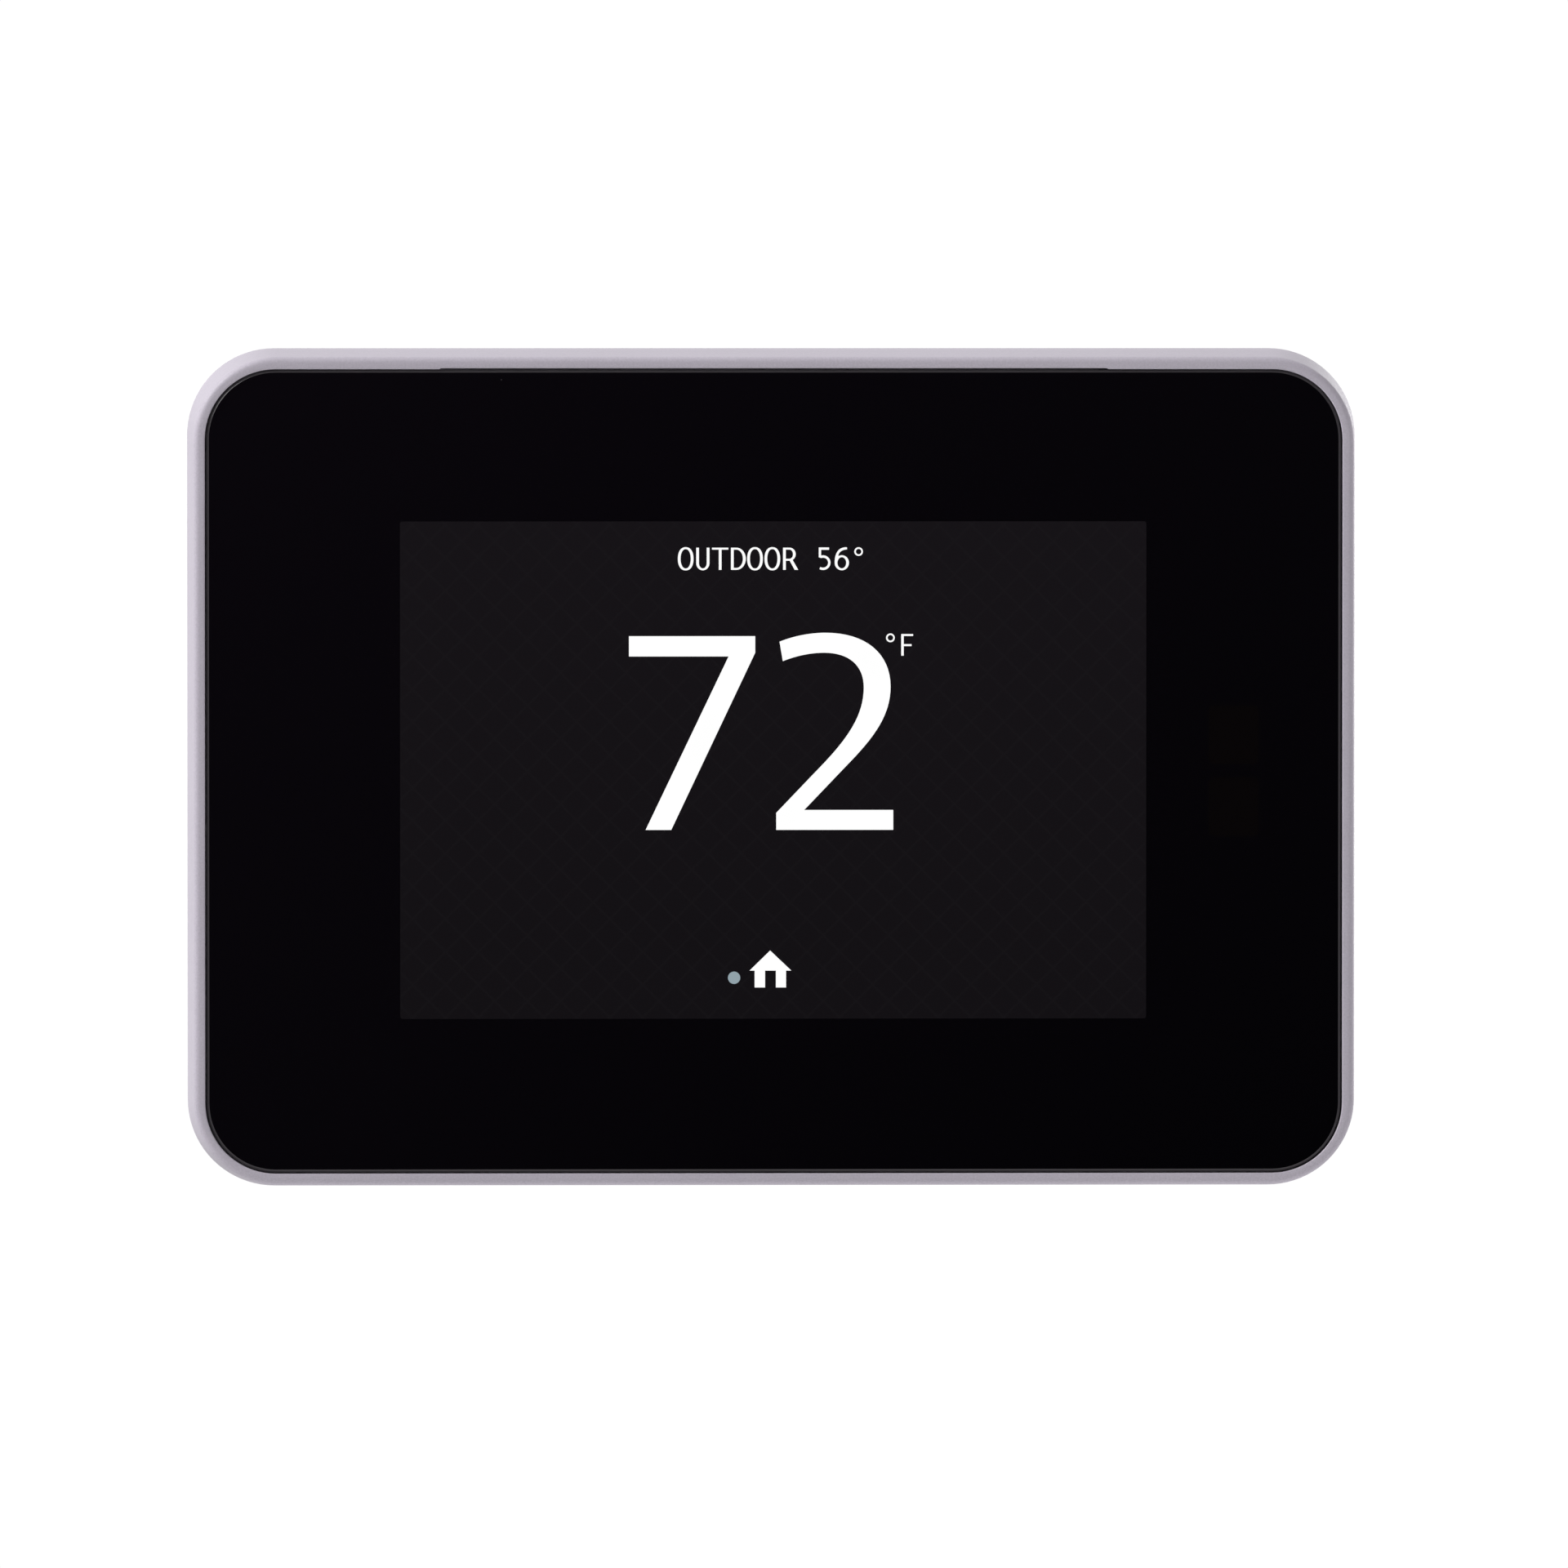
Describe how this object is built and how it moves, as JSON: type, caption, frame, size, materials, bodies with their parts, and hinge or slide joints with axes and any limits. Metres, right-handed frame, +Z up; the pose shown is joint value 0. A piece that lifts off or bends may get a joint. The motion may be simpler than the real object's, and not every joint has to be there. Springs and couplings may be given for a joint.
{
  "type": "wall thermostat",
  "caption": "Landscape touch-screen wall thermostat: glass-fronted body that pulls off a wall plate with spring wire terminals.",
  "frame": {"origin": "centre of the wall plate's back face, on the wall", "axes": "+X to the right as the user faces it, +Z up, and the front looks along -Y, so +Y points into the wall"},
  "size_m": [0.1316, 0.024, 0.0944],
  "materials": {
    "silver_plastic": "satin, fine moulded grain",
    "white_plastic": "satin",
    "black_plastic": "satin",
    "grey_plastic": "satin",
    "orange_plastic": "satin",
    "black_glass": "polished, back-painted",
    "display_glass": "polished",
    "clear_film": "gloss",
    "light_guide": "gloss",
    "black_foam": "closed-cell foam",
    "circuit_board": "solder mask",
    "dark_board": "solder mask",
    "amber_film": "polyimide film",
    "steel": "zinc plated",
    "tinned_sheet": "tinned",
    "spring_bronze": "plain",
    "chip_epoxy": "matte"
  },
  "bodies": {
    "wall_plate": {"wall_plate": "white_plastic", "wiring_board": "circuit_board", "wiring_board_screw_left": "steel", "wiring_board_screw_right": "steel", "terminal_block_left": "grey_plastic", "terminal_block_right": "grey_plastic", "terminal_clip_1": "spring_bronze", "terminal_clip_2": "spring_bronze", "terminal_clip_3": "spring_bronze", "terminal_clip_4": "spring_bronze", "terminal_clip_5": "spring_bronze", "terminal_clip_6": "spring_bronze", "terminal_clip_7": "spring_bronze", "terminal_clip_8": "spring_bronze", "pin_header": "black_plastic"},
    "thermostat_body": {"socket_connector": "black_plastic", "rear_shell": "white_plastic", "rear_shell_screw_1": "steel", "rear_shell_screw_2": "steel", "rear_shell_screw_3": "steel", "rear_shell_screw_4": "steel", "main_board": "circuit_board", "main_board_screw_1": "steel", "main_board_screw_2": "steel", "main_board_screw_3": "steel", "main_board_screw_4": "steel", "relay_1": "white_plastic", "relay_2": "white_plastic", "relay_3": "white_plastic", "buzzer": "black_plastic", "capacitor": "tinned_sheet", "processor": "chip_epoxy", "flash_memory": "chip_epoxy", "wifi_module": "dark_board", "wifi_shield": "tinned_sheet", "coin_cell_holder": "black_plastic", "coin_cell": "steel", "sensor_board": "dark_board", "humidity_sensor": "chip_epoxy", "lcd_tray": "tinned_sheet", "lcd_backlight": "light_guide", "lcd_panel": "display_glass", "lcd_tape": "black_foam", "touch_sensor": "clear_film", "lcd_flex": "amber_film", "lcd_flex_connector": "white_plastic", "touch_flex": "amber_film", "touch_flex_connector": "white_plastic", "proximity_sensor": "dark_board", "glass_gasket": "black_foam", "front_glass": "black_glass", "front_bezel": "silver_plastic"},
    "terminal_tab_1": {"terminal_tab_1": "orange_plastic"},
    "terminal_tab_2": {"terminal_tab_2": "orange_plastic"},
    "terminal_tab_3": {"terminal_tab_3": "orange_plastic"},
    "terminal_tab_4": {"terminal_tab_4": "orange_plastic"},
    "terminal_tab_5": {"terminal_tab_5": "orange_plastic"},
    "terminal_tab_6": {"terminal_tab_6": "orange_plastic"},
    "terminal_tab_7": {"terminal_tab_7": "orange_plastic"},
    "terminal_tab_8": {"terminal_tab_8": "orange_plastic"}
  },
  "joints": [
    {"name": "body_pull_off", "type": "slide", "parent": "wall_plate", "child": "thermostat_body", "axis": [0, -1, 0], "range_m": [0, 0.035]},
    {"name": "terminal_tab_1_press", "type": "slide", "parent": "wall_plate", "child": "terminal_tab_1", "axis": [0, 1, 0], "range_m": [0, 0.0012], "stiffness_N_per_m": 400, "deforming": ["terminal_clip_1"]},
    {"name": "terminal_tab_2_press", "type": "slide", "parent": "wall_plate", "child": "terminal_tab_2", "axis": [0, 1, 0], "range_m": [0, 0.0012], "stiffness_N_per_m": 400, "deforming": ["terminal_clip_2"]},
    {"name": "terminal_tab_3_press", "type": "slide", "parent": "wall_plate", "child": "terminal_tab_3", "axis": [0, 1, 0], "range_m": [0, 0.0012], "stiffness_N_per_m": 400, "deforming": ["terminal_clip_3"]},
    {"name": "terminal_tab_4_press", "type": "slide", "parent": "wall_plate", "child": "terminal_tab_4", "axis": [0, 1, 0], "range_m": [0, 0.0012], "stiffness_N_per_m": 400, "deforming": ["terminal_clip_4"]},
    {"name": "terminal_tab_5_press", "type": "slide", "parent": "wall_plate", "child": "terminal_tab_5", "axis": [0, 1, 0], "range_m": [0, 0.0012], "stiffness_N_per_m": 400, "deforming": ["terminal_clip_5"]},
    {"name": "terminal_tab_6_press", "type": "slide", "parent": "wall_plate", "child": "terminal_tab_6", "axis": [0, 1, 0], "range_m": [0, 0.0012], "stiffness_N_per_m": 400, "deforming": ["terminal_clip_6"]},
    {"name": "terminal_tab_7_press", "type": "slide", "parent": "wall_plate", "child": "terminal_tab_7", "axis": [0, 1, 0], "range_m": [0, 0.0012], "stiffness_N_per_m": 400, "deforming": ["terminal_clip_7"]},
    {"name": "terminal_tab_8_press", "type": "slide", "parent": "wall_plate", "child": "terminal_tab_8", "axis": [0, 1, 0], "range_m": [0, 0.0012], "stiffness_N_per_m": 400, "deforming": ["terminal_clip_8"]}
  ]
}
